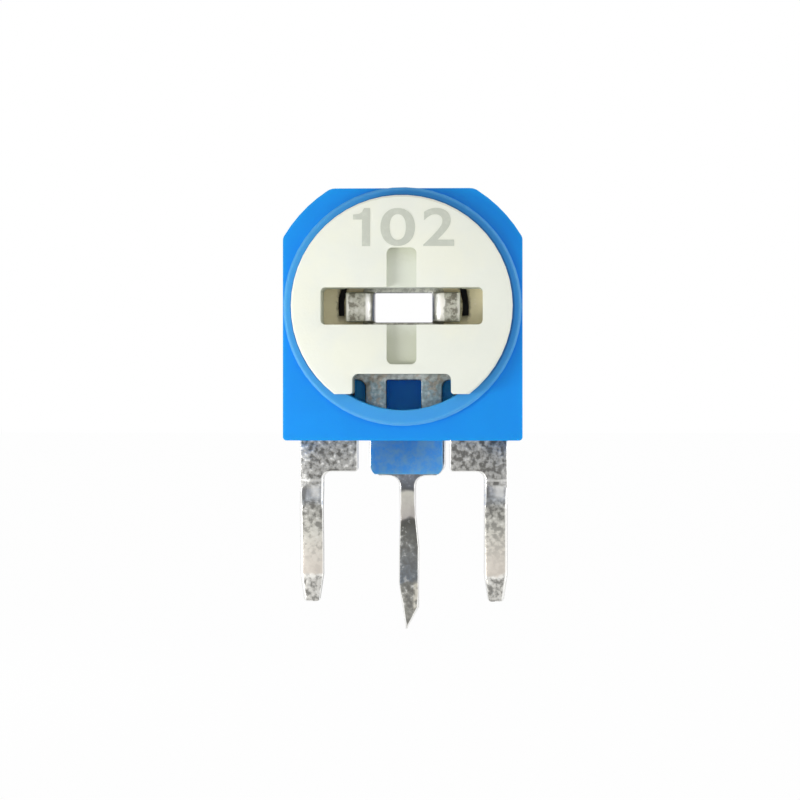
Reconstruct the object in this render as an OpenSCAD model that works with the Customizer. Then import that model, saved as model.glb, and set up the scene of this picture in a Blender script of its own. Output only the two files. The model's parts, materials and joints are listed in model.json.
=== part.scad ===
// Single-turn trimmer potentiometer, upright type, adjusted from the front.
// Lengths are in millimetres. The front faces -Y and +Z is up. The origin lies on the
// circuit board, midway between the two outer pins.

/* [Board pattern] */
// Distance between the middles of the two outer pins
pin_pitch = 5; // [4.9:0.02:5.12]
// Height of the rotor's axis above the circuit board
axis_h = 4.64; // [4.3:0.02:5.2]

/* [Housing] */
// Width of the housing
body_w = 6.45; // [6.4:0.05:6.8]
// Depth of the housing from front to back, which sets the centre pin's place
body_d = 3.3; // [3.1:0.05:3.8]
// Width of the raised ring round the mouth
ring_w = 0.425; // [0.3:0.005:0.6]
// How far the ring stands out of the front face
ring_h = 0.16; // [0.08:0.01:0.3]
// Flat land left outside the ring at the sides
body_land = 0.02; // [0.01:0.005:0.2]
// How far the ring's crown stands above the housing's flat top
crown_out = 0.02; // [0.01:0.01:0.1]
// How far the rounded top corners lie outside the ring
corner_out = 0.515; // [0.4:0.005:0.7]
// Rounding where the corners meet the flat top
crest_r = 0.4; // [0.1:0.05:0.6]
// Rounding where the corners meet the sides
flank_r = 0.25; // [0.1:0.05:0.5]
// Rounding of the two lower corners
foot_r = 0.1; // [0.05:0.01:0.3]
// Chamfer on the ring's outer edge
ring_bevel = 0.06; // [0.02:0.01:0.1]
// Thickness of the floor under the mouth
floor_t = 0.45; // [0.3:0.01:0.7]
// Thickness of the tongue that backs the centre terminal
tongue_t = 0.7; // [0.4:0.02:1]
// Margin of the light hole in the back wall round the terminal's window
hole_margin = 0.18; // [0.05:0.01:0.3]

/* [Rotor] */
// How far the rotor's disc laps over the ring
cap_lip = 0.18; // [0.1:0.01:0.26]
// Thickness of the rotor's disc
cap_t = 0.45; // [0.42:0.01:0.7]
// Chamfer on the disc's front edge
cap_bevel = 0.05; // [0.02:0.01:0.12]
// Length of the guide band behind the disc
guide_l = 0.34; // [0.25:0.01:0.6]
// Height of the disc's segment cut off by the flat
flat_h = 0.61; // [0.4:0.01:0.7]
// Width of the inspection notch
notch_w = 2.64; // [2.3:0.02:2.7]
// Height of the notch above the flat
notch_h = 0.54; // [0.45:0.01:0.6]
// Rounding inside the notch
notch_r = 0.16; // [0.05:0.01:0.3]
// Rounding where the notch meets the flat
lip_r = 0.08; // [0.03:0.01:0.15]
// How far the slot's ends stay inside the wiper's edge
slot_inset = 0.285; // [0.2:0.005:0.4]
// Width of the screwdriver slot
slot_w = 1; // [0.9:0.01:1.1]
// Rounding of the slot's corners
slot_r = 0.13; // [0.05:0.01:0.25]
// Width of the two blind arms of the cross
arm_w = 0.8; // [0.6:0.02:0.95]
// Land between the blind arms and the disc's edge
arm_land = 1.4; // [1.25:0.01:1.6]
// Rounding of the blind arms' outer corners
arm_r = 0.16; // [0.05:0.01:0.3]
// Depth of the blind arms
arm_depth = 0.24; // [0.1:0.01:0.4]
// Half of the rotor's travel, in degrees
travel = 105; // [90:1:112]
// Half of the angle that the rotor's stop rib takes up
rib_half = 40; // [34:1:44]
// Height of the stop inside the mouth
stop_h = 0.28; // [0.2:0.01:0.3]

/* [Wiper] */
// Thickness of the spring plate
wiper_t = 0.15; // [0.1:0.01:0.2]
// Width of the contact arch
arch_w = 0.68; // [0.6:0.01:0.72]
// Width of the arc slit
slit_w = 0.16; // [0.1:0.01:0.2]
// How far the slit runs down past the axis
slit_drop = 0.23; // [0.1:0.01:0.4]
// Width of the inner ring that runs on the tabs
inner_ring_w = 0.425; // [0.36:0.005:0.46]
// Radius of the contact's round nose
nose_r = 0.3; // [0.26:0.01:0.36]
// Radius of the staking pips that drive the plate
pip_r = 0.22; // [0.15:0.01:0.26]
// How far below the level the pips stand, in degrees
pip_angle = 29; // [26:1:34]

/* [Centre terminal] */
// Gap between the cross band and an outer terminal's head
head_gap = 0.33; // [0.2:0.01:0.4]
// Thickness of the terminal sheet
sheet_t = 0.3; // [0.25:0.01:0.35]
// How far the pad's edge stays inside the arc slit
pad_inset = 0.03; // [0.01:0.01:0.1]
// Height of the window and of the folded tabs
window_h = 0.8; // [0.7:0.01:0.88]
// How far a folded tab's end stays inside the arc slit
tab_inset = 0.06; // [0.02:0.01:0.12]
// Width of the strap and its two legs
strap_w = 2.1; // [1.9:0.02:2.14]
// Width of the opening between the two legs
leg_gap = 0.94; // [0.7:0.02:1.1]
// Rounding between the legs and the cross band
leg_r = 0.2; // [0.1:0.01:0.24]
// Width of the cross band over the legs
band_w = 2.84; // [2.6:0.02:2.9]
// How much of the band shows below the notch's top
band_show = 0.16; // [0.1:0.01:0.3]
// Width of the root below the housing
root_w = 2.14; // [1.9:0.02:2.3]
// Rounding of the root's lower corners
root_r = 0.36; // [0.2:0.01:0.5]
// Width of the root's rim round the tongue
root_rim = 0.07; // [0.04:0.01:0.15]
// Width of the neck
neck_w = 0.46; // [0.4:0.01:0.5]
// Width of the waist below the neck
waist_w = 0.45; // [0.36:0.01:0.46]
// Length of the waist
waist_l = 0.6; // [0.4:0.05:0.8]
// Length over which the pin widens below its waist
flare_l = 0.9; // [0.5:0.05:1.2]
// Rounding between the root and the neck
neck_r = 0.3; // [0.2:0.01:0.4]
// Width of the centre pin above its point
spear_w = 0.56; // [0.5:0.01:0.7]
// Length of the centre pin below the board seat
spear_l = 4.35; // [3.6:0.05:5]
// Length of the centre pin's point, on the average of its two edges
point_l = 1; // [0.7:0.05:1.3]
// How much further down one edge of the point starts than the other
point_skew = 0.7; // [0:0.05:0.9]
// How far the point's end stands beside the middle of its edges
point_lean = 0.08; // [0:0.01:0.15]
// How far the wide part of the centre pin stands beside the neck's middle
spear_shift = 0.04; // [0:0.01:0.08]

/* [Outer terminals] */
// Width of an outer pin
pin_w = 0.64; // [0.5:0.01:0.7]
// Width of an outer pin at its tip
tip_w = 0.42; // [0.3:0.01:0.5]
// Length of an outer pin below the board seat
pin_l = 3.35; // [2.8:0.05:4]
// Length of the taper at an outer pin's tip
taper_l = 0.75; // [0.5:0.05:0.9]
// Width of an outer root
side_root_w = 1.57; // [1.4:0.01:1.59]
// Rounding in the corner between an outer root and its pin
crotch_r = 0.2; // [0.1:0.01:0.3]
// Height of an outer root's shoulder above the board
shoulder_h = 0.18; // [0:0.005:0.4]
// Width of the contact head on an electrode
head_w = 0.7; // [0.5:0.02:0.8]
// Depth of the crimp that grips the board's hole: forwards in the outer pins, backwards in the centre one
crimp = 0.2; // [0.1:0.01:0.3]
// Distance from an outer root's shoulder down to its crimp
crimp_drop = 0.46; // [0.4:0.01:0.6]
// Height of the crimp's upper slope
crimp_rise = 0.49; // [0.4:0.01:0.6]
// Height of the crimp's lower slope
crimp_fall = 1.08; // [0.9:0.01:1.2]

/* [Element] */
// Thickness of the element board
board_t = 0.8; // [0.6:0.02:1]
// Width of the pad's edge that lies over the element board
pad_lap = 0.28; // [0.15:0.01:0.4]
// Thickness of the printed carbon and silver
film_t = 0.03; // [0.02:0.005:0.05]
// Bare edge of the element board beside the print
print_edge = 0.05; // [0.02:0.01:0.1]
// Width of the carbon track
track_w = 1; // [0.7:0.01:1.05]
// How far below the level silver takes over from carbon, in degrees
print_angle = 33; // [28:1:35]

/* [Clearances] */
// Radial play of the rotor in the mouth
run_gap = 0.06; // [0.03:0.01:0.09]
// Play between faces that turn past each other
face_gap = 0.04; // [0.03:0.005:0.06]
// Play round a terminal in its slot
slot_gap = 0.02; // [0.01:0.005:0.04]
// Wall between the rotor's pocket and the level of its guide band
pocket_wall = 0.05; // [0.03:0.01:0.2]
// Play round the element board
board_gap = 0.03; // [0.02:0.005:0.05]

/* [Hidden] */
$fn = 96;

// Depths are counted forwards from the middle of the outer pins' sheet.
sheet_front = sheet_t / 2;
sheet_back = -sheet_t / 2;
board_front = sheet_back - film_t;
board_back = board_front - board_t;
wiper_back = sheet_front + face_gap;
wiper_front = wiper_back + wiper_t;
tab_back = wiper_front + face_gap;
tab_front = tab_back + sheet_t;
pocket_front = tab_front + face_gap;
stop_front = pocket_front + pocket_wall;
guide_back = stop_front + face_gap;
cap_back = guide_back + guide_l;
cap_front = cap_back + cap_t;
ring_front = cap_back - face_gap;
body_front = ring_front - ring_h;
body_back = body_front - body_d;
pin_step = sheet_t / 2 - body_back;

// Sizes across the axis
body_half = body_w / 2;
ring_r = body_half - body_land;
mouth_r = ring_r - ring_w;
body_top = ring_r - crown_out;
corner_r = ring_r + corner_out;
crest_at = [sqrt(pow(corner_r - crest_r, 2) - pow(body_top - crest_r, 2)), body_top - crest_r];
flank_at = [body_half - flank_r, sqrt(pow(corner_r - flank_r, 2) - pow(body_half - flank_r, 2))];
guide_r = mouth_r - run_gap;
stop_in = mouth_r - stop_h;
hub_r = stop_in - face_gap;
wiper_r = hub_r - 0.01;
cap_r = mouth_r + cap_lip;
board_r = mouth_r - board_gap;
slit_out = wiper_r - arch_w;
slit_r = slit_out - slit_w;
contact_r = slit_out + arch_w / 2;
track_in = contact_r - track_w / 2;
pad_r = slit_r - pad_inset;
board_hole_r = pad_r - pad_lap;
pivot_r = slit_r - inner_ring_w;
tab_out = sqrt(pow(pivot_r - run_gap / 2, 2) - pow(window_h / 2, 2));
tab_in = tab_out - sheet_t;
tab_reach = slit_r - tab_inset;
window_w = 2 * tab_in;
hole_w = window_w + 2 * hole_margin;
hole_h = window_h + 2 * hole_margin;
slot_l = 2 * (wiper_r - slot_inset);
arm_reach = cap_r - arm_land;
flat_drop = cap_r - flat_h;
notch_drop = flat_drop - notch_h;
print_line = contact_r * sin(print_angle);
pocket_r = norm([tab_reach, window_h / 2]) + run_gap;
pin_x = pin_pitch / 2;
root_out = pin_x + pin_w / 2;
root_in = root_out - side_root_w;
head_in = band_w / 2 + head_gap;
head_out = head_in + head_w;

// Heights, counted from the rotor's axis
seat = -axis_h;
run_top = -mouth_r - 0.07;
run_mid = run_top - sheet_t / 2;
underside = run_top - sheet_t - floor_t;
band_top = -notch_drop + 0.36;
band_low = -notch_drop - band_show;
wiper_cut = -notch_drop + 0.1;
wall_half = notch_w / 2 + 0.03;
board_gap_half = wall_half + board_gap;
head_top = -print_line - 0.1;
root_top = -mouth_r + 0.23;
wall_top = -hole_h / 2 - 0.3;
side_seat = seat + shoulder_h;
crimp_top = side_seat - crimp_drop;
crimp_tip = crimp_top - crimp_rise;
pip_at = (pocket_r + wiper_r) / 2 * [cos(pip_angle), -sin(pip_angle)];
point_top = seat - spear_l + point_l;
waist_top = seat - neck_r - 0.2;
waist_low = waist_top - waist_l;
taper_top = seat - pin_l + taper_l;

// How far cuts and blanks run past the faces that they meet
past = 1;
// Past the end of its travel, the rotor's rib meets the housing's stop after this many degrees.
stop_play = 1;
half_turn = 180;
stop_half = half_turn - travel - rib_half - stop_play;

// Draws a front view, with the axis as its zero, and gives it the depth from one level to the next.
module front_view(from, to)
    translate([0, 0, axis_h]) rotate([90, 0, 0])
        translate([0, 0, from]) linear_extrude(to - from) children();

// Draws a side view of depth and height, and gives it a width across X.
module side_view(mid, width)
    translate([mid - width / 2, 0, axis_h]) rotate([90, 0, 90])
        linear_extrude(width) mirror([1, 0]) children();

// Turns a half section of radius and depth about the rotor's axis.
module turned_part() translate([0, 0, axis_h]) rotate([90, 0, 0]) rotate_extrude() children();

// A disc's half section, with its front edge chamfered
module disc_section(r, from, to, bevel)
    polygon([[0, from], [r, from], [r, to - bevel], [r - bevel, to], [0, to]]);

// A rectangle between two corners
module span(low, high) translate(low) square(high - low);

// A rectangle with round corners, about its own middle
module round_box(w, h, r) {
    square([w - 2 * r, h], center = true);
    square([w, h - 2 * r], center = true);
    for (x = [-1, 1], y = [-1, 1]) translate([x * (w / 2 - r), y * (h / 2 - r)]) circle(r);
}

// A piece of a flat ring, about the direction given in degrees
module ring_piece(r_in, r_out, middle, half) intersection() {
    difference() { circle(r_out); circle(r_in); }
    rotate(middle) polygon([[0, 0], 2 * r_out * [cos(half), -sin(half)], [2 * r_out, 0],
                            2 * r_out * [cos(half), sin(half)]]);
}

// Points along an arc
function arc(centre, r, from, to) =
    [for (i = [0:6]) let (a = from + (to - from) * i / 6) centre + r * [cos(a), sin(a)]];

// The edge of a bent sheet: straight runs through the corners, joined by round bends.
function unit(v) = v / norm(v);
function left_of(v) = [-v[1], v[0]];
function turned(v, a) = [v[0] * cos(a) - v[1] * sin(a), v[0] * sin(a) + v[1] * cos(a)];
function bend(p, q, s, r) =
    let (a = unit(q - p), b = unit(s - q), turn = atan2(cross(a, b), a * b), side = sign(turn),
         start = q - a * r * tan(abs(turn) / 2), centre = start + side * r * left_of(a), steps = 6)
    [for (i = [0:steps]) let (n = turned(left_of(a), turn * i / steps)) [centre - side * r * n, n]];
function sheet_line(p, r) =
    let (last = len(p) - 1)
    concat([[p[0], left_of(unit(p[1] - p[0]))]],
           [for (i = [1:last - 1], s = bend(p[i - 1], p[i], p[i + 1], r)) s],
           [[p[last], left_of(unit(p[last] - p[last - 1]))]]);
function sheet_edge(p, r, t) =
    let (line = sheet_line(p, r), last = len(line) - 1)
    concat([for (s = line) s[0] + s[1] * t / 2], [for (i = [last:-1:0]) line[i][0] - line[i][1] * t / 2]);

// What a round corner of radius r, about the point at, takes off between two directions
module corner_cut(at, r, from, to) difference() {
    polygon([at, at + 3 * r * [cos(from), sin(from)], at + 3 * r * [cos(to), sin(to)]]);
    translate(at) circle(r);
}

module body_outline() difference() {
    intersection() {
        union() {
            span([-body_half, underside + foot_r], [body_half, body_top]);
            span([-body_half + foot_r, underside], [body_half - foot_r, 0]);
            for (x = [-1, 1]) translate([x * (body_half - foot_r), underside + foot_r]) circle(foot_r);
        }
        union() {
            circle(corner_r);
            span([-2 * body_half, 2 * underside], [2 * body_half, 0]);
        }
    }
    for (x = [-1, 1]) scale([x, 1]) {
        corner_cut(crest_at, crest_r, atan2(crest_at[1], crest_at[0]), 90);
        corner_cut(flank_at, flank_r, 0, atan2(flank_at[1], flank_at[0]));
    }
}

// A tongue with round lower corners
module tongue_outline(w, low, high, r) {
    span([-w / 2, low + r], [w / 2, high]);
    span([-w / 2 + r, low], [w / 2 - r, high]);
    for (x = [-1, 1]) translate([x * (w / 2 - r), low + r]) circle(r);
}

module housing() color([0.12, 0.58, 0.95]) difference() {
    union() {
        difference() {
            union() {
                front_view(body_back, body_front) body_outline();
                turned_part() disc_section(ring_r, 0, ring_front, ring_bevel);
            }
            front_view(board_back, ring_front + past) circle(mouth_r);
        }
        front_view(body_back, body_back + tongue_t)
            tongue_outline(root_w - 2 * root_rim, seat, underside + 0.1, root_r - root_rim);
        front_view(board_back - 0.1, sheet_back) difference() {
            span([-wall_half, -mouth_r - 0.1], [wall_half, wall_top]);
            span([-leg_gap / 2, -mouth_r - past], [leg_gap / 2, band_low]);
        }
        front_view(wiper_back, stop_front) ring_piece(stop_in, mouth_r + 0.1, 90, stop_half);
    }
    front_view(body_back - past, board_back + 0.1) round_box(hole_w, hole_h, slot_r);
    for (x = [-1, 1]) front_view(sheet_back, sheet_front + slot_gap) scale([x, 1]) {
        span([root_in - slot_gap, underside - past], [root_out + slot_gap, root_top + slot_gap]);
        span([head_in - slot_gap, root_top - 0.1], [head_out + slot_gap, head_top + slot_gap]);
    }
    front_view(sheet_back, sheet_front + slot_gap)
        span([-strap_w / 2 - slot_gap, run_top - sheet_t - slot_gap], [strap_w / 2 + slot_gap, -notch_drop]);
    front_view(body_back - past, sheet_front)
        span([-strap_w / 2 - slot_gap, run_top - sheet_t - slot_gap],
             [strap_w / 2 + slot_gap, run_top + slot_gap]);
}

// The cap's outline, with its flat and its inspection notch
module cap_cut(r) difference() {
    circle(r);
    span([-2 * r, -2 * r], [2 * r, -flat_drop]);
    translate([0, -notch_drop - r]) round_box(notch_w, 2 * r, notch_r);
    for (x = [-1, 1]) scale([x, 1]) difference() {
        span([0, -flat_drop - lip_r], [notch_w / 2 + lip_r, -flat_drop + lip_r]);
        translate([notch_w / 2 + lip_r, -flat_drop + lip_r]) circle(lip_r);
    }
}

module rotor_cap() color([0.94, 0.94, 0.89]) difference() {
    union() {
        intersection() {
            turned_part() disc_section(cap_r, cap_back, cap_front, cap_bevel);
            front_view(cap_back - past, cap_front + past) cap_cut(2 * cap_r);
        }
        front_view(guide_back, cap_back) cap_cut(guide_r);
        front_view(wiper_front, guide_back) intersection() {
            cap_cut(guide_r);
            union() {
                circle(hub_r);
                ring_piece(0, guide_r, -90, rib_half);
            }
        }
        for (x = [-1, 1])
            front_view(wiper_back, wiper_front) translate([x * pip_at[0], pip_at[1]]) circle(pip_r);
    }
    front_view(wiper_front - past, cap_front + past) round_box(slot_l, slot_w, slot_r);
    front_view(wiper_front - past, pocket_front) circle(pocket_r);
    front_view(cap_front - arm_depth, cap_front + past) round_box(arm_w, 2 * arm_reach, arm_r);
}

module wiper_spring() color([0.72, 0.66, 0.5]) {
    front_view(wiper_back, wiper_front) difference() {
        circle(wiper_r);
        circle(pivot_r);
        span([-3 * wiper_r, -3 * wiper_r], [3 * wiper_r, wiper_cut]);
        intersection() {
            difference() { circle(slit_r + slit_w); circle(slit_r); }
            span([-2 * wiper_r, -slit_drop], [2 * wiper_r, 2 * wiper_r]);
        }
        for (x = [-1, 1]) translate([x * pip_at[0], pip_at[1]]) circle(pip_r + 0.01);
    }
    intersection() {
        translate([0, 0, axis_h + contact_r]) rotate([90, 0, 0])
            translate([0, 0, sheet_back + face_gap / 2 + nose_r]) sphere(nose_r);
        front_view(sheet_back - past, wiper_back) circle(3 * wiper_r);
    }
}

// One tab, raised through the wiper and folded outwards over it
module tab_side() {
    bend_in = [tab_out, tab_back];
    span([tab_in, 0], [tab_out, tab_back]);
    span([tab_out, tab_back], [tab_reach, tab_front]);
    intersection() {
        translate(bend_in) circle(sheet_t);
        span([tab_in, tab_back], [tab_out, tab_front]);
    }
}

module strap_outline() {
    difference() {
        union() {
            circle(pad_r);
            span([-band_w / 2, band_low], [band_w / 2, band_top]);
            span([-strap_w / 2, run_top - sheet_t], [strap_w / 2, 0]);
            for (x = [-1, 1]) scale([x, 1]) polygon(concat(
                [[strap_w / 2 + leg_r, band_low + 0.1], [strap_w / 2 - 0.1, band_low + 0.1],
                 [strap_w / 2 - 0.1, band_low - leg_r]],
                arc([strap_w / 2 + leg_r, band_low - leg_r], leg_r, 180, 90)));
        }
        square([window_w, window_h], center = true);
        span([-leg_gap / 2, run_top], [leg_gap / 2, band_low]);
    }
    tongue_outline(root_w, seat, run_top - sheet_t, root_r);
    spear_outline();
}

// Round shoulders under the root, a neck, and a pin that widens before its point
module spear_outline() polygon(concat(
    [[neck_w / 2 + neck_r, seat + 0.1], [-neck_w / 2 - neck_r, seat + 0.1]],
    arc([-neck_w / 2 - neck_r, seat - neck_r], neck_r, 90, 0),
    [[-waist_w / 2, waist_low], [spear_shift - spear_w / 2, waist_low - flare_l],
     [spear_shift - spear_w / 2, point_top + point_skew / 2], [spear_shift - point_lean, seat - spear_l],
     [spear_shift + spear_w / 2, point_top - point_skew / 2],
     [spear_shift + spear_w / 2, waist_low - flare_l], [waist_w / 2, waist_low]],
    arc([neck_w / 2 + neck_r, seat - neck_r], neck_r, 180, 90)));

module centre_terminal() color([0.66, 0.65, 0.62]) {
    front = sheet_back + sheet_t / 2;
    back = -pin_step;
    intersection() {
        front_view(back - past, sheet_front) strap_outline();
        side_view(0, 2 * mouth_r) polygon(sheet_edge([
            [front, 2 * pad_r], [front, run_mid], [back, run_mid], [back, waist_top + 0.15],
            [back - crimp, waist_top - 0.7], [back + crimp / 2, point_top + 0.35],
            [back, seat - spear_l - past]], sheet_t / 2 + 0.01, sheet_t));
    }
    for (x = [-1, 1]) translate([0, 0, axis_h - window_h / 2]) linear_extrude(window_h)
        scale([x, -1]) tab_side();
}

// Head, root and tapered pin, with a round inner corner under the root
module side_outline() polygon(concat(
    [[root_in, side_seat], [root_in, root_top], [head_in, root_top], [head_in, head_top],
     [head_out, head_top], [head_out, root_top], [root_out, root_top], [root_out, taper_top],
     [pin_x + tip_w / 2, seat - pin_l], [pin_x - tip_w / 2, seat - pin_l],
     [pin_x - pin_w / 2, taper_top]],
    arc([pin_x - pin_w / 2 - crotch_r, side_seat - crotch_r], crotch_r, 0, 90)));

// A flat head and root, and a pin crimped forwards to grip its hole
module side_terminal() intersection() {
    front_view(-1, 1) side_outline();
    side_view(pin_x, 3 * side_root_w) polygon(sheet_edge([
        [0, 0], [0, crimp_top], [crimp, crimp_tip], [0, crimp_tip - crimp_fall],
        [0, seat - pin_l - past]], sheet_t / 2 + 0.01, sheet_t));
}

module right_terminal() color([0.68, 0.67, 0.63]) side_terminal();
module left_terminal() color([0.68, 0.67, 0.63]) mirror([1, 0, 0]) side_terminal();

// A horseshoe, open at the foot
module element_board() color([0.45, 0.28, 0.16]) front_view(board_back, board_front) difference() {
    circle(board_r);
    circle(board_hole_r);
    span([-board_gap_half, -2 * board_r], [board_gap_half, 0]);
}

module print_ring() difference() {
    circle(track_in + track_w);
    circle(track_in);
    span([-board_gap_half - print_edge, -2 * board_r], [board_gap_half + print_edge, 0]);
}

module carbon_track() color([0.12, 0.12, 0.12]) front_view(board_front, sheet_back) intersection() {
    print_ring();
    span([-2 * board_r, -print_line], [2 * board_r, 2 * board_r]);
}

// Silver print under the outer terminals' heads
module electrode(side) front_view(board_front, sheet_back) scale([side, 1]) intersection() {
    print_ring();
    span([head_in - 0.05, -2 * board_r], [2 * board_r, -print_line]);
}

module left_electrode() color([0.8, 0.8, 0.8]) electrode(-1);
module right_electrode() color([0.8, 0.8, 0.8]) electrode(1);

housing();
rotor_cap();
wiper_spring();
centre_terminal();
left_terminal();
right_terminal();
element_board();
carbon_track();
left_electrode();
right_electrode();
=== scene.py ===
import json
import math
import bpy
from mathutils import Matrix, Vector

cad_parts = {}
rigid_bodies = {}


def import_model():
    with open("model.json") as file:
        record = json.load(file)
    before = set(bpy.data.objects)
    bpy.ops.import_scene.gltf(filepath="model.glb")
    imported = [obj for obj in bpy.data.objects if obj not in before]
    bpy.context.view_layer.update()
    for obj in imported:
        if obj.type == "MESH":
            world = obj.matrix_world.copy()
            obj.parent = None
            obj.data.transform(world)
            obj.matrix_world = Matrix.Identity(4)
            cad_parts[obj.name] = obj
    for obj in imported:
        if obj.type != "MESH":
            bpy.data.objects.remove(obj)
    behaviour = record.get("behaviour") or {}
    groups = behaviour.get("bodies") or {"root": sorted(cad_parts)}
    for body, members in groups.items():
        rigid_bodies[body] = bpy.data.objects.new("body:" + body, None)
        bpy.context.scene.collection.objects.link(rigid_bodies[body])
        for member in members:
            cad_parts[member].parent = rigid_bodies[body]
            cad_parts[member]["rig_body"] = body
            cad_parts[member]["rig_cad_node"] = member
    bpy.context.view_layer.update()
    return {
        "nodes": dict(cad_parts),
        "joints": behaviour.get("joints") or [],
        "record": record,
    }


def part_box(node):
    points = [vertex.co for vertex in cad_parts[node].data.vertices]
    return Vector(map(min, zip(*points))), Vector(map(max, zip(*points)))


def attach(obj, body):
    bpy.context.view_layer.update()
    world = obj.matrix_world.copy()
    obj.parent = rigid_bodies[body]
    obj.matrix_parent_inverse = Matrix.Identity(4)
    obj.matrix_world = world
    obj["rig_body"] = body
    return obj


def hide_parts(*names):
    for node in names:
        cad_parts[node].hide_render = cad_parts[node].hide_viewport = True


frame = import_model()
nodes = frame["nodes"]
slotOf = {part["node"]: part["material_slot"] for part in frame["record"]["subparts"]}
bodyOf = {node: body for body, members in frame["record"]["behaviour"]["bodies"].items() for node in members}

# Lengths are in millimetres, and mm turns them into Blender's metres.
mm = 0.001
axisHeight = frame["joints"][0]["pos_m"][2] / mm
housingBox = [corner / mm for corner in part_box("housing")]
capBox = [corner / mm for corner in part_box("rotor_cap")]
slitRadius = 1.69  # the middle of the wiper's arc slits
hair = 0.01  # a distance too small to see
print("frame loaded:", ", ".join(sorted(nodes)))


def tint(red, green, blue):
    # A colour as it looks on screen, 0 to 255, made linear for the shader.
    steps = [c / 255 for c in (red, green, blue)]
    return tuple(c / 12.92 if c <= 0.04045 else ((c + 0.055) / 1.055) ** 2.4 for c in steps) + (1.0,)


# A socket that adds its own Math nodes, so that a mask is written as plain arithmetic.
class Wire:
    def __init__(self, shading, socket):
        self.shading, self.socket = shading, socket

    def join(self, operation, first, second):
        return self.shading.node("ShaderNodeMath", {"operation": operation}, {0: first, 1: second})

    def __add__(self, other):
        return self.join("ADD", self, other)

    def __sub__(self, other):
        return self.join("SUBTRACT", self, other)

    def __rsub__(self, other):
        return self.join("SUBTRACT", other, self)

    def __mul__(self, other):
        return self.join("MULTIPLY", self, other)

    def __truediv__(self, other):
        return self.join("DIVIDE", self, other)

    def __rtruediv__(self, other):
        return self.join("DIVIDE", other, self)

    def __pow__(self, other):
        return self.join("POWER", self, other)

    __radd__ = __add__
    __rmul__ = __mul__


# A node tree, and the one way in which nodes are added to it.
class Shading:
    def __init__(self, tree):
        self.tree = tree
        tree.nodes.clear()

    def node(self, kind, settings=None, sockets=None, output=0):
        made = self.tree.nodes.new(kind)
        for key, value in (settings or {}).items():
            if key == "stops":
                ramp = made.color_ramp
                while len(ramp.elements) < len(value):
                    ramp.elements.new(0.5)
                for element, (position, colour) in zip(ramp.elements, value):
                    element.position, element.color = position, colour
            else:
                setattr(made, key, value)
        for key, value in (sockets or {}).items():
            self.feed(made.inputs[key], value)
        return Wire(self, made.outputs[output])

    def feed(self, socket, value):
        if isinstance(value, Wire):
            self.tree.links.new(value.socket, socket)
        else:
            socket.default_value = value

    def seen(self):
        # 1 for what the camera, a gloss or a clear surface sees, and 0 for the light that falls on the object
        kinds = ["Is Camera Ray", "Is Glossy Ray", "Is Transmission Ray"]
        camera, glossy, clear = (self.node("ShaderNodeLightPath", output=kind) for kind in kinds)
        return camera.join("MAXIMUM", camera.join("MAXIMUM", camera, glossy), clear)


# A material: patterns are in millimetres in the object's own frame.
class Finish(Shading):
    def __init__(self, name):
        self.material = bpy.data.materials.new(name)
        self.material.use_nodes = True
        super().__init__(self.material.node_tree)
        self.shader = self.tree.nodes.new("ShaderNodeBsdfPrincipled")
        self.output = self.tree.nodes.new("ShaderNodeOutputMaterial")
        self.tree.links.new(self.shader.outputs[0], self.output.inputs["Surface"])
        coordinates = self.node("ShaderNodeTexCoord", output="Object")
        self.place = self.node("ShaderNodeVectorMath", {"operation": "SCALE"}, {0: coordinates, "Scale": 1 / mm})
        self.x, self.y, self.z = self.split(self.place)
        self.faceX, self.faceY, self.faceZ = self.split(self.node("ShaderNodeTexCoord", output="Normal"))

    def split(self, vector):
        parts = self.node("ShaderNodeSeparateXYZ", sockets={0: vector}).socket.node
        return [Wire(self, end) for end in parts.outputs]

    def fromAxis(self):
        # How high above the rotor's axis, and how far from it
        up = self.z - axisHeight
        return up, (self.x * self.x + up * up) ** 0.5

    def noise(self, scale, detail=2.0, rough=0.5, stretch=None):
        # Scale is in cells to the millimetre, and stretch squeezes them along x, y and z.
        place = self.place
        if stretch:
            place = self.node("ShaderNodeVectorMath", {"operation": "MULTIPLY"}, {0: place, 1: stretch})
        return self.node("ShaderNodeTexNoise", None,
                         {"Vector": place, "Scale": scale, "Detail": detail, "Roughness": rough})

    def cells(self, scale):
        return self.node("ShaderNodeTexVoronoi", None, {"Vector": self.place, "Scale": scale}, "Distance")

    def ramp(self, value, low, high):
        # 0 at low and 1 at high, with a soft step between. Low may be the larger.
        return self.node("ShaderNodeMapRange", {"interpolation_type": "SMOOTHSTEP"},
                         {"Value": value, "From Min": low, "From Max": high})

    def mix(self, amount, first, second):
        return self.node("ShaderNodeMix", {"data_type": "RGBA"}, {0: amount, 6: first, 7: second}, 2)

    def lay(self, under, amount, colour):
        # Lays a colour over what is there.
        return self.mix(amount, under, tint(*colour))

    def bands(self, value, stops):
        # A row of colours, each with its level and how mottled it is.
        low, high = stops[0][0], stops[-1][0]
        row = [((level - low) / (high - low), tint(*colour)[:3] + (mottle,)) for level, colour, mottle in stops]
        made = self.node("ShaderNodeValToRGB", {"stops": row}, {0: (value - low) / (high - low)})
        return made, Wire(self, made.socket.node.outputs[1])

    def bump(self, height, distance):
        return self.node("ShaderNodeBump", None, {"Height": height, "Distance": distance * mm})

    def give(self, **sockets):
        names = {"colour": "Base Color", "roughness": "Roughness", "metallic": "Metallic", "normal": "Normal",
                 "gloss": "Specular IOR Level", "glow": "Subsurface Weight", "glowReach": "Subsurface Radius",
                 "glowScale": "Subsurface Scale"}
        for key, value in sockets.items():
            self.feed(self.shader.inputs[names[key]], value)
        return self.material


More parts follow.
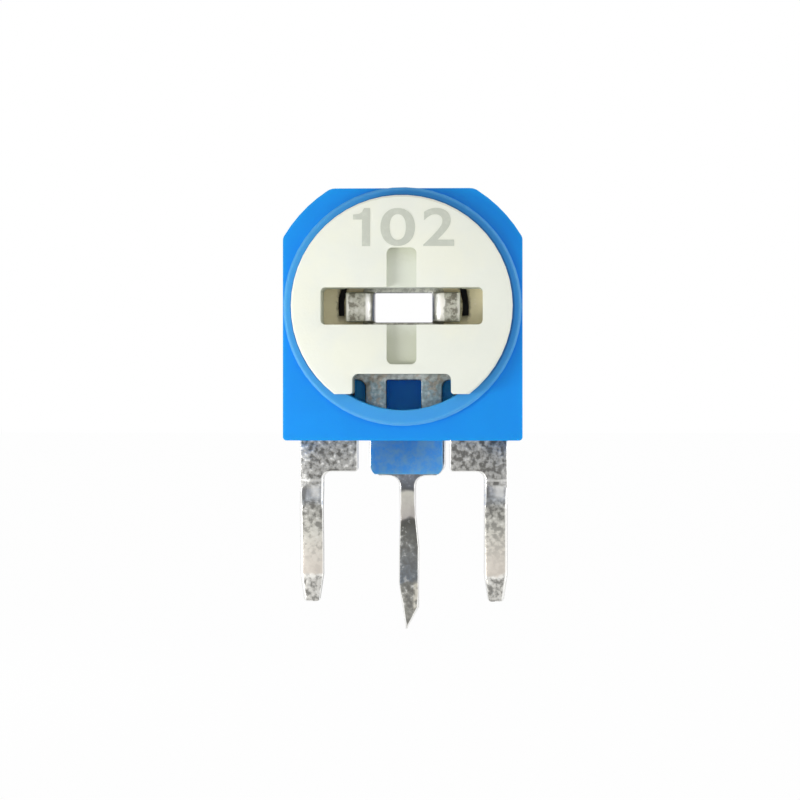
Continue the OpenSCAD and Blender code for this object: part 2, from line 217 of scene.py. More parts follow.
# In the finishes, a pair of levels is where a mask is 0 and where it is 1.
housingFinish = {
    # Some of these colours are painted light and shade: the ring's paler face, the light line at its outer edge, the
    # paler edges and tongue and the lighter inside of the mouth are painted sheen and light, and the darker upper
    # right and the dark line beside the rotor are painted shade.
    "body": (0, 154, 245), "shade": (0, 143, 235), "ring": (82, 166, 226), "crown": (116, 186, 234),
    "paintedGapShadow": (10, 70, 140), "paintedShade": (24, 92, 168), "inside": (38, 178, 255), "tongue": (122, 180, 214),
    "paler": (120, 188, 236),
    "land": 0.02, "ringWide": 0.425, "ringHigh": 0.16,
    # Distances from the ring's outer edge, and from its mouth
    "ringOut": (0.04, 0), "crownIn": (-0.13, -0.06), "besideOut": (0.3, 0.02),
    "ringIn": (-0.08, 0), "insideOut": (0.01, -0.01),
    # Distances from the rotor's edge, and from the body's front
    "paintedGapShadowOut": (0.07, 0.03), "raised": (-0.02, -0.05),
    "paintedGapShadowFoot": (-2.3, -1.6), "insideFoot": (1.3, 1.4), "insideBack": (1.2, 1.1), "tongueTop": (1.02, 0.98),
    "paintedShadeSide": (0.6, 3.6), "offFront": (0.95, 0.6), "offSide": (0.03, 0.15), "scuffed": (0.3, 0.75),
    "cloudScale": 0.9, "scuffScale": 4.5, "grainScale": 14, "grainDepth": 0.004,
    "roughness": 0.46, "gloss": 0.3, "glow": 0.3, "glowReach": (0.15, 0.5, 1.0),
}


def makeHousingFinish(look):
    blue = Finish("bluePlastic")
    cloud = blue.noise(look["cloudScale"], 3)
    grain = blue.noise(look["grainScale"], 3)
    scuff = blue.noise(look["scuffScale"], 4, 0.65)
    up, reach = blue.fromAxis()
    rim = housingBox[1].x - look["land"]
    fromRim, fromMouth, fromRotor = reach - rim, reach - (rim - look["ringWide"]), reach - capBox[1].x
    raised = blue.ramp(blue.y - (housingBox[0].y + look["ringHigh"]), *look["raised"])
    ring = blue.ramp(fromMouth, *look["ringIn"]) * blue.ramp(fromRim, *look["ringOut"]) * raised
    crown = blue.ramp(fromRim, *look["crownIn"]) * ring
    paintedGapShadow = blue.ramp(fromRotor, *look["paintedGapShadowOut"]) * blue.ramp(up, *look["paintedGapShadowFoot"]) * ring
    inside = blue.ramp(fromMouth, *look["insideOut"]) * blue.ramp(blue.z, *look["insideFoot"])
    inside = inside * blue.ramp(blue.y, *look["insideBack"])
    beside = blue.ramp(fromRim, *look["besideOut"]) * (1 - ring)
    paintedShade = blue.ramp(blue.x + up + cloud * 1.6, *look["paintedShadeSide"])  # painted shade: the ring's upper right and the body beside it are darker
    tongue = blue.ramp(blue.z, *look["tongueTop"])
    facing = blue.faceY * blue.faceY
    paler = blue.ramp(facing, *look["offFront"]) * blue.ramp(facing, *look["offSide"]) * (1 - raised)
    body = blue.mix(cloud, tint(*look["shade"]), tint(*look["body"]))
    # Painted light: the inside of the mouth is laid a lighter blue, for the light that comes through the plastic.
    body = blue.lay(body, inside, look["inside"])
    # Painted sheen: the ring's face is laid a paler, greyer blue, and less so under the painted shade.
    body = blue.lay(body, ring * (0.6 - paintedShade * 0.15), look["ring"])
    # Painted shade at the upper right, on the ring and on the body beside it.
    body = blue.lay(body, ring * paintedShade * 0.24, look["paintedShade"])
    body = blue.lay(body, paintedShade * beside * 0.22, look["paintedShade"])
    # Painted highlight: a light line along the ring's outer edge, in patches.
    body = blue.lay(body, crown * scuff * 0.5, look["crown"])
    # Painted shadow: a dark line on the ring beside the rotor's edge.
    body = blue.lay(body, paintedGapShadow * 0.55, look["paintedGapShadow"])
    # The rounded edges are laid paler: partly wear, partly a painted highlight.
    body = blue.lay(body, paler * (0.1 + scuff * 0.6), look["paler"])
    # Painted sheen: the tongue below the body is laid a paler, greyer blue, in patches.
    body = blue.lay(body, tongue * (0.42 + blue.ramp(scuff, *look["scuffed"]) * 0.6), look["tongue"])
    return blue.give(colour=body, roughness=look["roughness"] + cloud * 0.1 - grain * 0.06, gloss=look["gloss"],
                     glow=look["glow"], glowReach=look["glowReach"], glowScale=mm,
                     normal=blue.bump(grain * 0.6 + scuff * 0.4, look["grainDepth"]))


rotorFinish = {
    "face": (243, 245, 234), "cloud": (236, 239, 227), "warm": (243, 244, 226),
    # The arms' recessed floors are painted shade: darker than the face, darker at their outer ends and in the lower
    # arm.
    "floor": (216, 221, 206), "end": (188, 192, 172), "low": (182, 186, 164),
    "belowFace": (0.05, 0.3), "armEnd": (1.4, 3.2), "lowArm": (-0.1, -0.7), "warmed": (0.42, 0.62),
    "cloudScale": 1.1, "armBlotScale": 3.2, "warmScale": 0.55, "grainScale": 12, "grainDepth": 0.004,
    "roughness": 0.45,
}


def makeRotorFinish(look):
    white = Finish("whitePlastic")
    cloud = white.noise(look["cloudScale"], 3)
    grain = white.noise(look["grainScale"], 3)
    armBlots = white.noise(look["armBlotScale"], 3)
    warmth = white.noise(look["warmScale"], 3, 0.6)
    up = white.z - axisHeight
    # Painted shade: the arms' recessed floors are darker than the face, darker still at their outer ends and in the
    # lower arm, broken up by blots.
    deep = white.ramp(white.y - capBox[0].y, *look["belowFace"])
    far = white.ramp(up * up + armBlots * 1.2, *look["armEnd"])
    face = white.mix(cloud, tint(*look["cloud"]), tint(*look["face"]))
    face = white.lay(face, white.ramp(warmth, *look["warmed"]) * 0.6, look["warm"])
    floor = white.mix(far, tint(*look["floor"]), tint(*look["end"]))
    floor = white.lay(floor, white.ramp(up + armBlots * 0.4, *look["lowArm"]), look["low"])
    return white.give(colour=white.mix(deep * 0.85, face, floor), roughness=look["roughness"] + cloud * 0.1,
                      normal=white.bump(grain, look["grainDepth"]))


# The pins' colours go up from the tips, each with its level, its colour and how mottled it is. The bright lines, dark
# bands and bluish tones at the bends and the neck are painted reflection and shade.
tinFinish = {
    "dark": (98, 97, 93), "bright": (232, 231, 226), "rim": (250, 249, 246), "sheared": (146, 145, 141),
    "outer": [(-3.4, (200, 198, 192), 0.8), (-2.74, (206, 204, 198), 0.75), (-2.66, (240, 238, 232), 0.4),
              (-2.6, (212, 204, 194), 0.1), (-2.3, (214, 207, 197), 0.12), (-1.9, (214, 209, 199), 0.35),
              (-1.4, (204, 202, 193), 0.6), (-0.8, (166, 165, 159), 0.85), (-0.55, (160, 164, 168), 0.5),
              (-0.26, (160, 162, 166), 0.4), (-0.16, (170, 169, 165), 0.9), (2.0, (166, 165, 161), 1.0)],
    "centre": [(-4.35, (200, 198, 192), 0.3), (-4.1, (150, 149, 142), 0.5), (-3.4, (150, 149, 142), 0.7),
               (-2.98, (126, 126, 121), 0.6), (-2.9, (118, 124, 130), 0.4), (-2.5, (124, 127, 128), 0.5),
               (-1.9, (132, 132, 127), 0.6), (-1.36, (88, 88, 82), 0.5), (-1.22, (96, 94, 90), 0.3),
               (-1.16, (186, 180, 174), 0.1), (-0.46, (206, 203, 192), 0.08), (-0.38, (100, 102, 106), 0.4),
               (0.0, (136, 139, 146), 0.5), (1.2, (158, 157, 153), 0.8)],
    "centreBow": 1.5, "outerSheet": (1.9, 1.8), "within": (1.2, 1.5), "acrossAll": (-1, 1), "pitch": 5,
    # A painted highlight: the bright strip at the right of the centre pin's tip
    "strip": (216, 212, 198), "stripSide": (0.14, 0.2), "stripTop": (-2.9, -3.1),
    # The legs and the cross band in the notch, and the tabs and the top strip in the slot, are laid in tones for the
    # light there: painted shade and blue reflection on the legs, painted light on the rest
    "legs": (146, 166, 172), "band": (186, 192, 188), "tabs": (196, 195, 182), "topStrip": (226, 228, 216),
    "stain": (172, 152, 128), "stained": (0.5, 0.62),
    "legFoot": (1.3, 1.6), "bandFoot": (2.6, 2.7), "bandTop": (3.6, 3.3), "tabFoot": (3.8, 4.0),
    "tabFront": (-0.34, -0.37), "topStripFoot": (5.03, 5.05),
    # A tab's bend and end get a painted highlight, with dark marks between them.
    "stripe": (255, 252, 244), "crease": (110, 103, 88), "rightTab": (-0.1, 0.1),
    "bendIn": (0.84, 0.9), "bendOut": (1.02, 0.97), "tabEnd": (1.44, 1.48),
    "marksIn": (1.12, 1.2), "marksOut": (1.46, 1.4), "marked": (0.56, 0.42),
    # The crimp's dent, with painted shade and a painted glint, and the line scored above it, painted bright
    "dentTop": (-0.16, -0.24), "dentFoot": (-0.7, -0.5), "dentDark": (-0.1, -0.2),
    "glintIn": (-0.1, 0.06), "glintOut": (0.28, 0.18), "glintFoot": (-0.62, -0.42),
    "scoreFoot": (-0.1, -0.07), "scoreTop": (-0.01, -0.04),
    # Where the painted highlight on the rolled edges is narrower
    "innerSide": (2.52, 2.42), "innerTop": (-0.6, -0.9), "spearTop": (-0.7, -1.1), "spearFoot": (-3.6, -3.2),
    "rolled": (0.02, 0.12), "level": (0.4, 0.6), "upright": (0.8, 0.95),
    "darkened": (0.53, 0.36), "brightened": (0.52, 0.69),
    "lumpScale": 6.6, "beadScale": 8.0, "patchScale": 1.8, "wanderScale": 4, "lumpDepth": 0.022,
    "roughness": 0.34, "metallic": 0.8,
}


def makeTinFinish(look):
    tin = Finish("tinnedSheet")
    lumps = tin.noise(look["lumpScale"], 3, 0.6)
    beads = tin.cells(look["beadScale"])
    patches = tin.noise(look["patchScale"], 3)
    wander = tin.noise(look["wanderScale"], 2)
    relief = lumps * 0.85 + (0.85 - beads) * 0.18 + patches * 0.2
    # Painted shade: the mottle is a little darker towards the right.
    relief = relief - tin.ramp(tin.x, *look["acrossAll"]) * 0.04 - 0.09
    level = tin.z + patches * 0.4 - 0.2
    aside = (tin.x * tin.x) ** 0.5
    onPins = tin.ramp(tin.y, *look["outerSheet"])
    offPins = 1 - onPins
    # The bands hold painted reflection and shade at the pins' bends.
    outer, outerMottle = tin.bands(level, look["outer"])
    centre, centreMottle = tin.bands(level + tin.x * tin.x * look["centreBow"], look["centre"])
    mottle = (outerMottle * onPins + centreMottle * offPins) * (1 - tin.ramp(tin.z, *look["within"]) * 0.55)
    tone = tin.mix(onPins, centre, outer)
    # Painted highlight: a bright strip at the right of the centre pin's tip.
    strip = tin.ramp(tin.x, *look["stripSide"]) * tin.ramp(level, *look["stripTop"]) * offPins
    tone = tin.lay(tone, strip * 0.8, look["strip"])

    notch = tin.ramp(tin.z, *look["legFoot"]) * tin.ramp(tin.z, *look["bandTop"])
    slot = tin.ramp(tin.z, *look["tabFoot"])
    tabs = slot * tin.ramp(tin.y, *look["tabFront"])
    # Painted shade and light: the tin in the notch and the slot is laid in other tones.
    tone = tin.lay(tone, notch, look["legs"])
    tone = tin.lay(tone, notch * tin.ramp(tin.z, *look["bandFoot"]), look["band"])
    tone = tin.lay(tone, slot, look["tabs"])
    tone = tin.lay(tone, tin.ramp(tin.z, *look["topStripFoot"]), look["topStrip"])
    tone = tin.lay(tone, notch * tin.ramp(wander, *look["stained"]) * 0.6, look["stain"])
    grey = tin.lay(tone, tin.ramp(relief, *look["darkened"]) * mottle, look["dark"])
    grey = tin.lay(grey, tin.ramp(relief, *look["brightened"]) * mottle, look["bright"])

    # The painted highlight is stronger at the right tab's bend, and weaker at its end.
    across = aside + wander * 0.16 + lumps * 0.12 - 0.14
    right = tin.ramp(tin.x, *look["rightTab"])
    bend = tin.ramp(across, *look["bendIn"]) * tin.ramp(across - right * 0.12, *look["bendOut"])
    stripe = bend * (0.45 + right * 0.35 + wander * 0.4) + tin.ramp(across, *look["tabEnd"]) * (0.75 - right * 0.3)
    marks = tin.ramp(across, *look["marksIn"]) * tin.ramp(across, *look["marksOut"]) * tin.ramp(lumps, *look["marked"])
    grey = tin.lay(grey, tabs * marks * 0.6, look["crease"])
    grey = tin.lay(grey, tabs * stripe, look["stripe"])

    # The crimp's dent has painted shade on one side of each outer pin and a painted glint on the other; the scored
    # line gets a painted highlight.
    fromPin = tin.x - tin.ramp(tin.x, -hair, hair) * look["pitch"] + look["pitch"] / 2
    beside = fromPin + wander * 0.2 - 0.1
    dent = tin.ramp(tin.z, *look["dentTop"]) * tin.ramp(tin.z, *look["dentFoot"]) * onPins
    glint = tin.ramp(beside, *look["glintIn"]) * tin.ramp(beside, *look["glintOut"])
    glint = glint * tin.ramp(tin.z, *look["glintFoot"])
    scored = tin.ramp(tin.z, *look["scoreFoot"]) * tin.ramp(tin.z, *look["scoreTop"]) * onPins
    grey = tin.lay(grey, dent * tin.ramp(beside, *look["dentDark"]) * 0.65, look["dark"])
    grey = tin.lay(grey, dent * glint * 0.6 + scored * wander * 0.9, look["bright"])

    # The rolled edges get a painted highlight, narrower on the pins' inner sides and the spear, and the sheared sides
    # are duller.
    turned = tin.faceX * tin.faceX
    onEnds = tin.ramp(tin.faceZ * tin.faceZ, *look["level"])
    lean = onPins * tin.ramp(aside, *look["innerSide"]) * tin.ramp(tin.z, *look["innerTop"]) * 0.34
    lean = lean + offPins * tin.ramp(tin.z, *look["spearTop"]) * tin.ramp(tin.z, *look["spearFoot"]) * 0.3
    rim = tin.ramp(turned + onEnds * 0.2 + wander * 0.08 - lean - 0.04, *look["rolled"]) * (1 - notch)
    grey = tin.lay(grey, rim * 0.9, look["rim"])
    grey = tin.lay(grey, tin.ramp(turned, *look["upright"]) * 0.9, look["sheared"])
    return tin.give(colour=grey, metallic=look["metallic"],
                    roughness=look["roughness"] + patches * 0.15 - rim * 0.1,
                    normal=tin.bump(relief * (mottle + 0.15), look["lumpDepth"]))


springFinish = {
    "bright": (252, 244, 216), "dull": (220, 206, 164), "slitDark": (70, 62, 46), "fleck": (250, 240, 220),
    "slitDarkened": (0.27, 0.15), "slitDarkFoot": (-0.5, -0.2), "flecked": (0.6, 0.68),
    "cloudScale": 1.5, "blotScale": 6, "grainScale": 9, "rolling": (0.15, 1, 1), "grainDepth": 0.004,
    "roughness": 0.5, "metallic": 0.35,
}


def makeSpringFinish(look):
    alloy = Finish("springAlloy")
    rolled = alloy.noise(look["grainScale"], 3, 0.5, look["rolling"])
    cloud = alloy.noise(look["cloudScale"], 2)
    blot = alloy.noise(look["blotScale"], 4, 0.7)
    up, reach = alloy.fromAxis()
    fromSlit = ((reach - slitRadius) ** 2) ** 0.5
    # Darker beside the slits, fading out just below the axis.
    slitDark = alloy.ramp(fromSlit + blot * 0.2, *look["slitDarkened"]) * alloy.ramp(up, *look["slitDarkFoot"])
    sheet = alloy.mix(cloud * 0.7 + rolled * 0.3, tint(*look["dull"]), tint(*look["bright"]))
    sheet = alloy.lay(sheet, alloy.ramp(blot, *look["flecked"]) * 0.6, look["fleck"])
    sheet = alloy.lay(sheet, slitDark * 0.8, look["slitDark"])
    return alloy.give(colour=sheet, metallic=look["metallic"], roughness=look["roughness"] + rolled * 0.15,
                      normal=alloy.bump(rolled * 0.6 + blot * 0.4, look["grainDepth"]))


boardFinish = {
    "light": (150, 104, 62), "dark": (104, 66, 36), "roughness": 0.55,
    "fibreScale": 6, "fibres": (0.4, 2.5, 1), "fibreDepth": 0.006,
}


def makeBoardFinish(look):
    paper = Finish("phenolicPaper")
    fibres = paper.noise(look["fibreScale"], 5, 0.7, look["fibres"])
    return paper.give(colour=paper.mix(fibres, tint(*look["dark"]), tint(*look["light"])),
                      roughness=look["roughness"] + fibres * 0.15, normal=paper.bump(fibres, look["fibreDepth"]))


carbonFinish = {"light": (52, 50, 48), "dark": (26, 25, 25), "roughness": 0.5, "metallic": 0.0,
                "grainScale": 22, "grainDepth": 0.004}
silverFinish = {"light": (206, 205, 200), "dark": (160, 158, 152), "roughness": 0.4, "metallic": 0.9,
                "grainScale": 16, "grainDepth": 0.005}


def makePrintFinish(name, look):
    film = Finish(name)
    grain = film.noise(look["grainScale"], 4, 0.6)
    return film.give(colour=film.mix(grain, tint(*look["dark"]), tint(*look["light"])), metallic=look["metallic"],
                     roughness=look["roughness"] + grain * 0.2, normal=film.bump(grain, look["grainDepth"]))


finishes = {
    "blue_plastic": makeHousingFinish(housingFinish),
    "white_plastic": makeRotorFinish(rotorFinish),
    "tinned_metal": makeTinFinish(tinFinish),
    "spring_metal": makeSpringFinish(springFinish),
    "phenolic_board": makeBoardFinish(boardFinish),
    "carbon_film": makePrintFinish("carbonFilm", carbonFinish),
    "silver_print": makePrintFinish("silverPrint", silverFinish),
}
for name, node in nodes.items():
    node.data.materials.clear()
    node.data.materials.append(finishes[slotOf[name]])
print("finishes made:", len(finishes))


def pickOnly(piece):
    bpy.ops.object.select_all(action="DESELECT")
    piece.select_set(True)
    bpy.context.view_layer.objects.active = piece


def applyModifier(piece, kind, **settings):
    pickOnly(piece)
    modifier = piece.modifiers.new(kind.title(), kind)
    for key, value in settings.items():
        setattr(modifier, key, value)
    bpy.ops.object.modifier_apply(modifier=modifier.name)


flatAngle = 0.5  # faces that turn less than this are one
smoothAngle = 40


def mergedCopy(name, pieceName, look):
    # A CAD node's mesh is loose triangles, so its copy is merged and its flat faces are made whole.
    pickOnly(nodes[name])
    bpy.ops.object.duplicate()
    piece = bpy.context.view_layer.objects.active
    piece.name = piece.data.name = pieceName
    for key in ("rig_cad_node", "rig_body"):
        if key in piece:
            del piece[key]
    piece.parent = None
    bpy.ops.object.mode_set(mode="EDIT")
    bpy.ops.mesh.select_all(action="SELECT")
    bpy.ops.mesh.remove_doubles(threshold=look["merge"] * mm)
    bpy.ops.mesh.dissolve_limited(angle_limit=math.radians(flatAngle))
    if look["tied"]:
        bpy.ops.mesh.vert_connect_concave()  # no face then reaches round a hole
    bpy.ops.object.mode_set(mode="OBJECT")
    return piece


def anywhere(x, y, z):
    return True


def pickEdges(piece, angle, wanted=anywhere):
    # Leaves the piece in edit mode, with the edges picked that are sharper than the angle and end where wanted.
    pickOnly(piece)
    bpy.ops.object.mode_set(mode="EDIT")
    bpy.ops.mesh.select_mode(type="EDGE")
    bpy.ops.mesh.select_all(action="DESELECT")
    bpy.ops.mesh.edges_select_sharp(sharpness=math.radians(angle))
    bpy.ops.object.mode_set(mode="OBJECT")
    corners = piece.data.vertices
    for edge in piece.data.edges:
        edge.select = edge.select and all(wanted(*(corners[end].co / mm)) for end in edge.vertices)
    ends = {end for edge in piece.data.edges if edge.select for end in edge.vertices}
    for index, corner in enumerate(corners):
        corner.select = index in ends
    for face in piece.data.polygons:
        face.select = False
    bpy.ops.object.mode_set(mode="EDIT")


def evenWidth(look, x, y, z):
    return look["edge"]


def weighEdges(piece, look, widthAt):
    # Each sharp edge gets the width of its rounding, as a share of the piece's widest.
    pickEdges(piece, look["angle"])
    bpy.ops.object.mode_set(mode="OBJECT")
    corners = piece.data.vertices
    shares = piece.data.attributes.new("bevel_weight_edge", "FLOAT", "EDGE").data
    for edge in piece.data.edges:
        if edge.select:
            first, last = (corners[end].co / mm for end in edge.vertices)
            shares[edge.index].value = widthAt(look, *((first + last) / 2)) / look["edge"]


def soften(name, pieceName, look, shape=None, widthAt=evenWidth):
    # The visual piece in a node's place: a copy, given its fine shapes and its rounded edges.
    piece = mergedCopy(name, pieceName, look)
    if shape:
        shape(piece, look)
    weighEdges(piece, look, widthAt)
    applyModifier(piece, "BEVEL", width=look["edge"] * mm, segments=look["segments"], limit_method="WEIGHT",
                  miter_outer="MITER_ARC", use_clamp_overlap=look["tied"], loop_slide=False)
    pickOnly(piece)
    bpy.ops.object.shade_smooth_by_angle(angle=math.radians(smoothAngle))
    pickEdges(piece, smoothAngle)
    bpy.ops.mesh.mark_sharp()  # also beside the smallest faces
    bpy.ops.object.mode_set(mode="OBJECT")
    if look["flatFaces"]:
        applyModifier(piece, "WEIGHTED_NORMAL", keep_sharp=True)  # keeps the gloss even on the flat faces
    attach(piece, bodyOf[name])
    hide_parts(name)
    print(pieceName, len(piece.data.polygons), "faces")


# In a piece's settings, edge is the width of its rounded edges, merge is the gap that its merging closes,
# and a tied piece has its roundings kept apart.
housingLook = {
    "edge": 0.045, "segments": 3, "angle": 50, "merge": 0.003, "tied": False, "flatFaces": True,
    "ringEdge": 0.035, "tongueEdge": 0.025, "tongueTop": 1, "pocketSide": 1.2, "pocketTop": 1.7,
    "lip": 0.06, "cutReach": 0.00001,  # how near a corner counts as on the cut
    "marks": [(-2.3, 2), (2.3, 2), (-1.95, 6.4), (1.95, 6.4)], "markRadius": 0.42, "markDepth": 0.03,
    "markEdge": 0.012, "markSides": 48, "holeSide": 1.1, "holeHalf": 0.62, "holeInside": 0.9, "holeOpen": 1.08,
    "holeAngle": 30,
}


def housingWidth(look, x, y, z):
    # The inside stays sharp, and so does the front's outline, where the ring leaves almost no land.
    onBack = y > housingBox[1].y - hair
    markReach = look["markRadius"] + hair
    if onBack and any(math.hypot(x - aside, z - level) < markReach for aside, level in look["marks"]):
        return look["markEdge"]
    inPocket = abs(x) < look["pocketSide"] and z < look["pocketTop"]
    if onBack and not inPocket:
        return look["edge"]
    if y < housingBox[0].y + hair:
        return look["ringEdge"]
    return look["tongueEdge"] if z < look["tongueTop"] and not onBack else 0


def shapeHousing(piece, look):
    # The terminal's root shows as a lip below the tongue's end.
    pickOnly(piece)
    bpy.ops.object.mode_set(mode="EDIT")
    bpy.ops.mesh.select_all(action="SELECT")
    bpy.ops.mesh.bisect(plane_co=(0, 0, look["lip"] * mm), plane_no=(0, 0, 1), clear_inner=True, use_fill=True,
                        threshold=look["cutReach"] * mm)
    bpy.ops.object.mode_set(mode="OBJECT")
    # The mould's ejector pins leave shallow round marks at the back.
    for aside, level in look["marks"]:
        bpy.ops.object.select_all(action="DESELECT")
        bpy.ops.mesh.primitive_cylinder_add(vertices=look["markSides"], radius=look["markRadius"] * mm,
                                            depth=2 * look["markDepth"] * mm,
                                            location=(aside * mm, housingBox[1].y * mm, level * mm),
                                            rotation=(math.radians(90), 0, 0))
        pin = bpy.context.active_object
        applyModifier(piece, "BOOLEAN", operation="DIFFERENCE", object=pin, solver="EXACT")
        bpy.data.objects.remove(pin)

    # The light hole at the back opens out to its sides.
    def atHole(x, y, z):
        return abs(x) < look["holeSide"] and y > look["holeInside"] and abs(z - axisHeight) < look["holeHalf"]

    pickEdges(piece, look["holeAngle"], atHole)
    bpy.ops.transform.resize(value=(look["holeOpen"], 1, 1), center_override=(0, 0, 0))
    bpy.ops.object.mode_set(mode="OBJECT")


soften("housing", "moulded_housing", housingLook, shapeHousing, housingWidth)

rotorLook = {"edge": 0.03, "segments": 3, "angle": 40, "merge": 0.001, "tied": True, "flatFaces": False}

soften("rotor_cap", "moulded_rotor", rotorLook)

# Below a height, the tin rounds the sheets' edges wider.
centreLook = {
    "edge": 0.04, "segments": 3, "angle": 60, "merge": 0.02, "tied": False, "flatFaces": False,
    "below": 0.01, "rolled": 0.065, "rolledSegments": 4, "rootTop": 1.4, "sheetBack": 0.3,
}
pinLook = {
    "edge": 0.04, "segments": 3, "angle": 60, "merge": 0.02, "tied": False, "flatFaces": False,
    "below": 1.8, "rolled": 0.085, "rolledSegments": 4,
}


def shapePin(piece, look):
    pickEdges(piece, look["angle"], lambda x, y, z: z < look["below"])
    bpy.ops.mesh.bevel(offset=look["rolled"] * mm, segments=look["rolledSegments"], clamp_overlap=False,
                       loop_slide=False)
    bpy.ops.object.mode_set(mode="OBJECT")


def centreWidth(look, x, y, z):
    # The fold inside the housing stays sharp.
    return look["edge"] if z < look["rootTop"] or y < look["sheetBack"] else 0


soften("centre_terminal", "folded_terminal", centreLook, shapePin, centreWidth)
soften("left_terminal", "left_pin_sheet", pinLook, shapePin)
soften("right_terminal", "right_pin_sheet", pinLook, shapePin)

wiperLook = {
    "edge": 0.012, "segments": 1, "angle": 60, "merge": 0.001, "tied": False, "flatFaces": False,
    "slitHalf": 0.1, "slitDrop": 0.4, "ragged": 0.022, "seed": 4,
}


def shapeWiper(piece, look):
    # The slits' edges are ragged.
    def atSlit(x, y, z):
        up = z - axisHeight
        return abs(math.hypot(x, up) - slitRadius) < look["slitHalf"] and up > -look["slitDrop"]

    pickEdges(piece, look["angle"], atSlit)
    bpy.ops.mesh.subdivide(number_cuts=1)
    bpy.ops.transform.vertex_random(offset=look["ragged"] * mm, seed=look["seed"])
    bpy.ops.object.mode_set(mode="OBJECT")


soften("wiper_spring", "slit_wiper", wiperLook, shapeWiper)

# Each digit has its left edge and its width. The one is drawn by its outline, 1 high.
digitLook = {
    "digits": [("1", -1.29, 0.45), ("0", -0.56, 0.92), ("2", 0.58, 0.82)], "low": 1.593, "height": 1.012,
    "weight": 0.012, "curveSteps": 10, "proud": 0.01,
    "one": [(0.24, 0), (0.45, 0), (0.45, 1), (0.29, 1), (0.24, 0.9), (0.16, 0.85), (0, 0.83), (0, 0.7), (0.24, 0.7)],
    "ink": (200, 204, 191), "paler": (210, 214, 201), "wornFrom": (0.45, 0.75), "roughness": 0.5,
    "blotScale": 5, "blotDepth": 0.003,
}


def addOne(look):
    bpy.ops.curve.primitive_bezier_circle_add()
    outline = bpy.context.active_object
    outline.data.splines.clear()
    outline.data.dimensions, outline.data.fill_mode = "2D", "BOTH"
    path = outline.data.splines.new("POLY")
    path.points.add(len(look["one"]) - 1)
    path.use_cyclic_u = True
    for point, place in zip(path.points, look["one"]):
        point.co = (*place, 0, 1)
    return outline


def addCurved(look, figure):
    bpy.ops.object.text_add()
    digit = bpy.context.active_object
    digit.data.body, digit.data.offset, digit.data.resolution_u = figure, look["weight"], look["curveSteps"]
    return digit


def makeDigit(look, figure, left, width, ink):
    bpy.ops.object.select_all(action="DESELECT")
    digit = addOne(look) if figure == "1" else addCurved(look, figure)
    digit.name = "plain_digit_" + figure
    digit.data.extrude = 0.5
    bpy.ops.object.convert(target="MESH")
    digit.data.name = digit.name
    # It is scaled to its own size, turned upright and set half into the rotor's face.
    low, high = digit.bound_box[0], digit.bound_box[6]
    ownSize = (width, look["height"], 2 * look["proud"])
    scale = [size * mm / (end - start) for size, start, end in zip(ownSize, low, high)]
    digit.scale = scale
    digit.rotation_euler = (math.radians(90), 0, 0)
    digit.location = (left * mm - low[0] * scale[0], capBox[0].y * mm,
                      (axisHeight + look["low"]) * mm - low[1] * scale[1])
    pickOnly(digit)
    bpy.ops.object.transform_apply(location=True, rotation=True, scale=True)
    digit.data.materials.clear()
    digit.data.materials.append(ink)
    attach(digit, bodyOf["rotor_cap"])
    print(digit.name, len(digit.data.polygons), "faces")


def makeInk(look):
    ink = Finish("digitInk")
    blot = ink.noise(look["blotScale"], 4, 0.6)
    return ink.give(colour=ink.mix(ink.ramp(blot, *look["wornFrom"]), tint(*look["ink"]), tint(*look["paler"])),
                    roughness=look["roughness"] + blot * 0.1, normal=ink.bump(blot, look["blotDepth"]))


digitInk = makeInk(digitLook)
for figure, left, width in digitLook["digits"]:
    makeDigit(digitLook, figure, left, width, digitInk)

# The camera stands this far in front of the part and aside of its middle, turned about it by the azimuth.
cameraLook = {"lens": 118.26, "sensor": 36, "azimuth": 2.5, "aside": -0.108, "away": 71.6, "height": 2.131,
              "nearest": 5, "farthest": 5000}


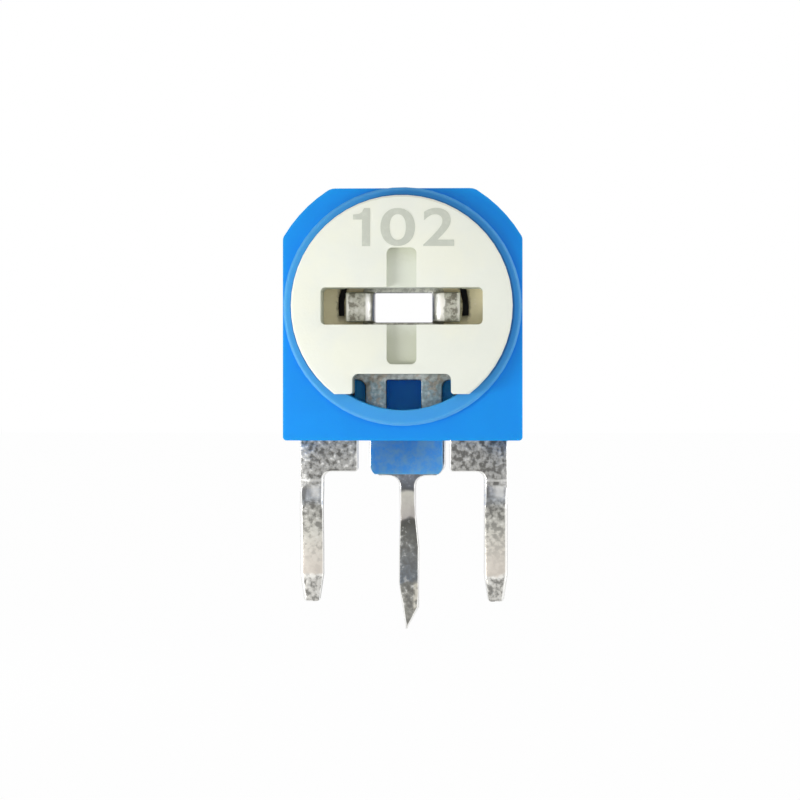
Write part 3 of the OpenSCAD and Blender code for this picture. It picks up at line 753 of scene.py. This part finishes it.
def makeCamera(look):
    turn = math.radians(look["azimuth"])
    right, back = (math.cos(turn), math.sin(turn)), (math.sin(turn), -math.cos(turn))
    spot = [(look["aside"] * r + look["away"] * b) * mm for r, b in zip(right, back)]
    bpy.ops.object.camera_add(location=(*spot, look["height"] * mm), rotation=(math.radians(90), 0, turn))
    camera = bpy.context.active_object
    camera.data.sensor_width, camera.data.lens = look["sensor"], look["lens"]
    camera.data.clip_start, camera.data.clip_end = look["nearest"] * mm, look["farthest"] * mm
    bpy.context.scene.camera = camera


stageLook = {"white": (255, 255, 255), "roughness": 0.8, "seen": 0.97, "size": 900, "world": 0.6}


def makeStage(look):
    tipLevel = min(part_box(name)[0].z for name in nodes)
    bpy.ops.object.select_all(action="DESELECT")
    bpy.ops.mesh.primitive_plane_add(size=look["size"] * mm, location=(0, 0, tipLevel))
    floor = bpy.context.active_object
    floor.name = "pale_floor"
    pale = Finish("paleFloor")
    pale.give(colour=tint(*look["white"]), roughness=look["roughness"])
    lit = pale.node("ShaderNodeEmission", None, {"Color": tint(*look["white"]), "Strength": 1.0})
    blend = pale.node("ShaderNodeMixShader", None,
                      {0: pale.seen() * look["seen"], 1: Wire(pale, pale.shader.outputs[0]), 2: lit})
    pale.feed(pale.output.inputs["Surface"], blend)
    floor.data.materials.append(pale.material)


def makeWorld(look):
    world = bpy.data.worlds.new("softWhite")
    world.use_nodes = True
    bpy.context.scene.world = world
    studio = Shading(world.node_tree)
    strength = studio.seen() * (1 - look["world"]) + look["world"]
    background = studio.node("ShaderNodeBackground", None, {"Color": tint(*look["white"]), "Strength": strength})
    output = studio.tree.nodes.new("ShaderNodeOutputWorld")
    studio.feed(output.inputs["Surface"], background)


lampLook = {
    "low_left_key": {"place": (-20, -16, -3.4), "aim": (0, 0, 4.6), "size": 10, "power": 0.0046},
    "right_fill": {"place": (40, -12, 9), "aim": (0, 0, 4), "size": 30, "power": 0.004},
}


def makeLamp(name, look):
    bpy.ops.object.light_add(type="AREA", location=[c * mm for c in look["place"]])
    lamp = bpy.context.active_object
    lamp.name = name
    lamp.data.shape, lamp.data.size, lamp.data.energy = "DISK", look["size"] * mm, look["power"]
    toAim = Vector(look["aim"]) - Vector(look["place"])
    lamp.rotation_euler = toAim.to_track_quat("-Z", "Y").to_euler()
    lamp.visible_camera = False


makeCamera(cameraLook)
makeStage(stageLook)
makeWorld(stageLook)
for name, look in lampLook.items():
    makeLamp(name, look)
bpy.context.scene.view_settings.view_transform = "Standard"
print("camera, floor and light made")
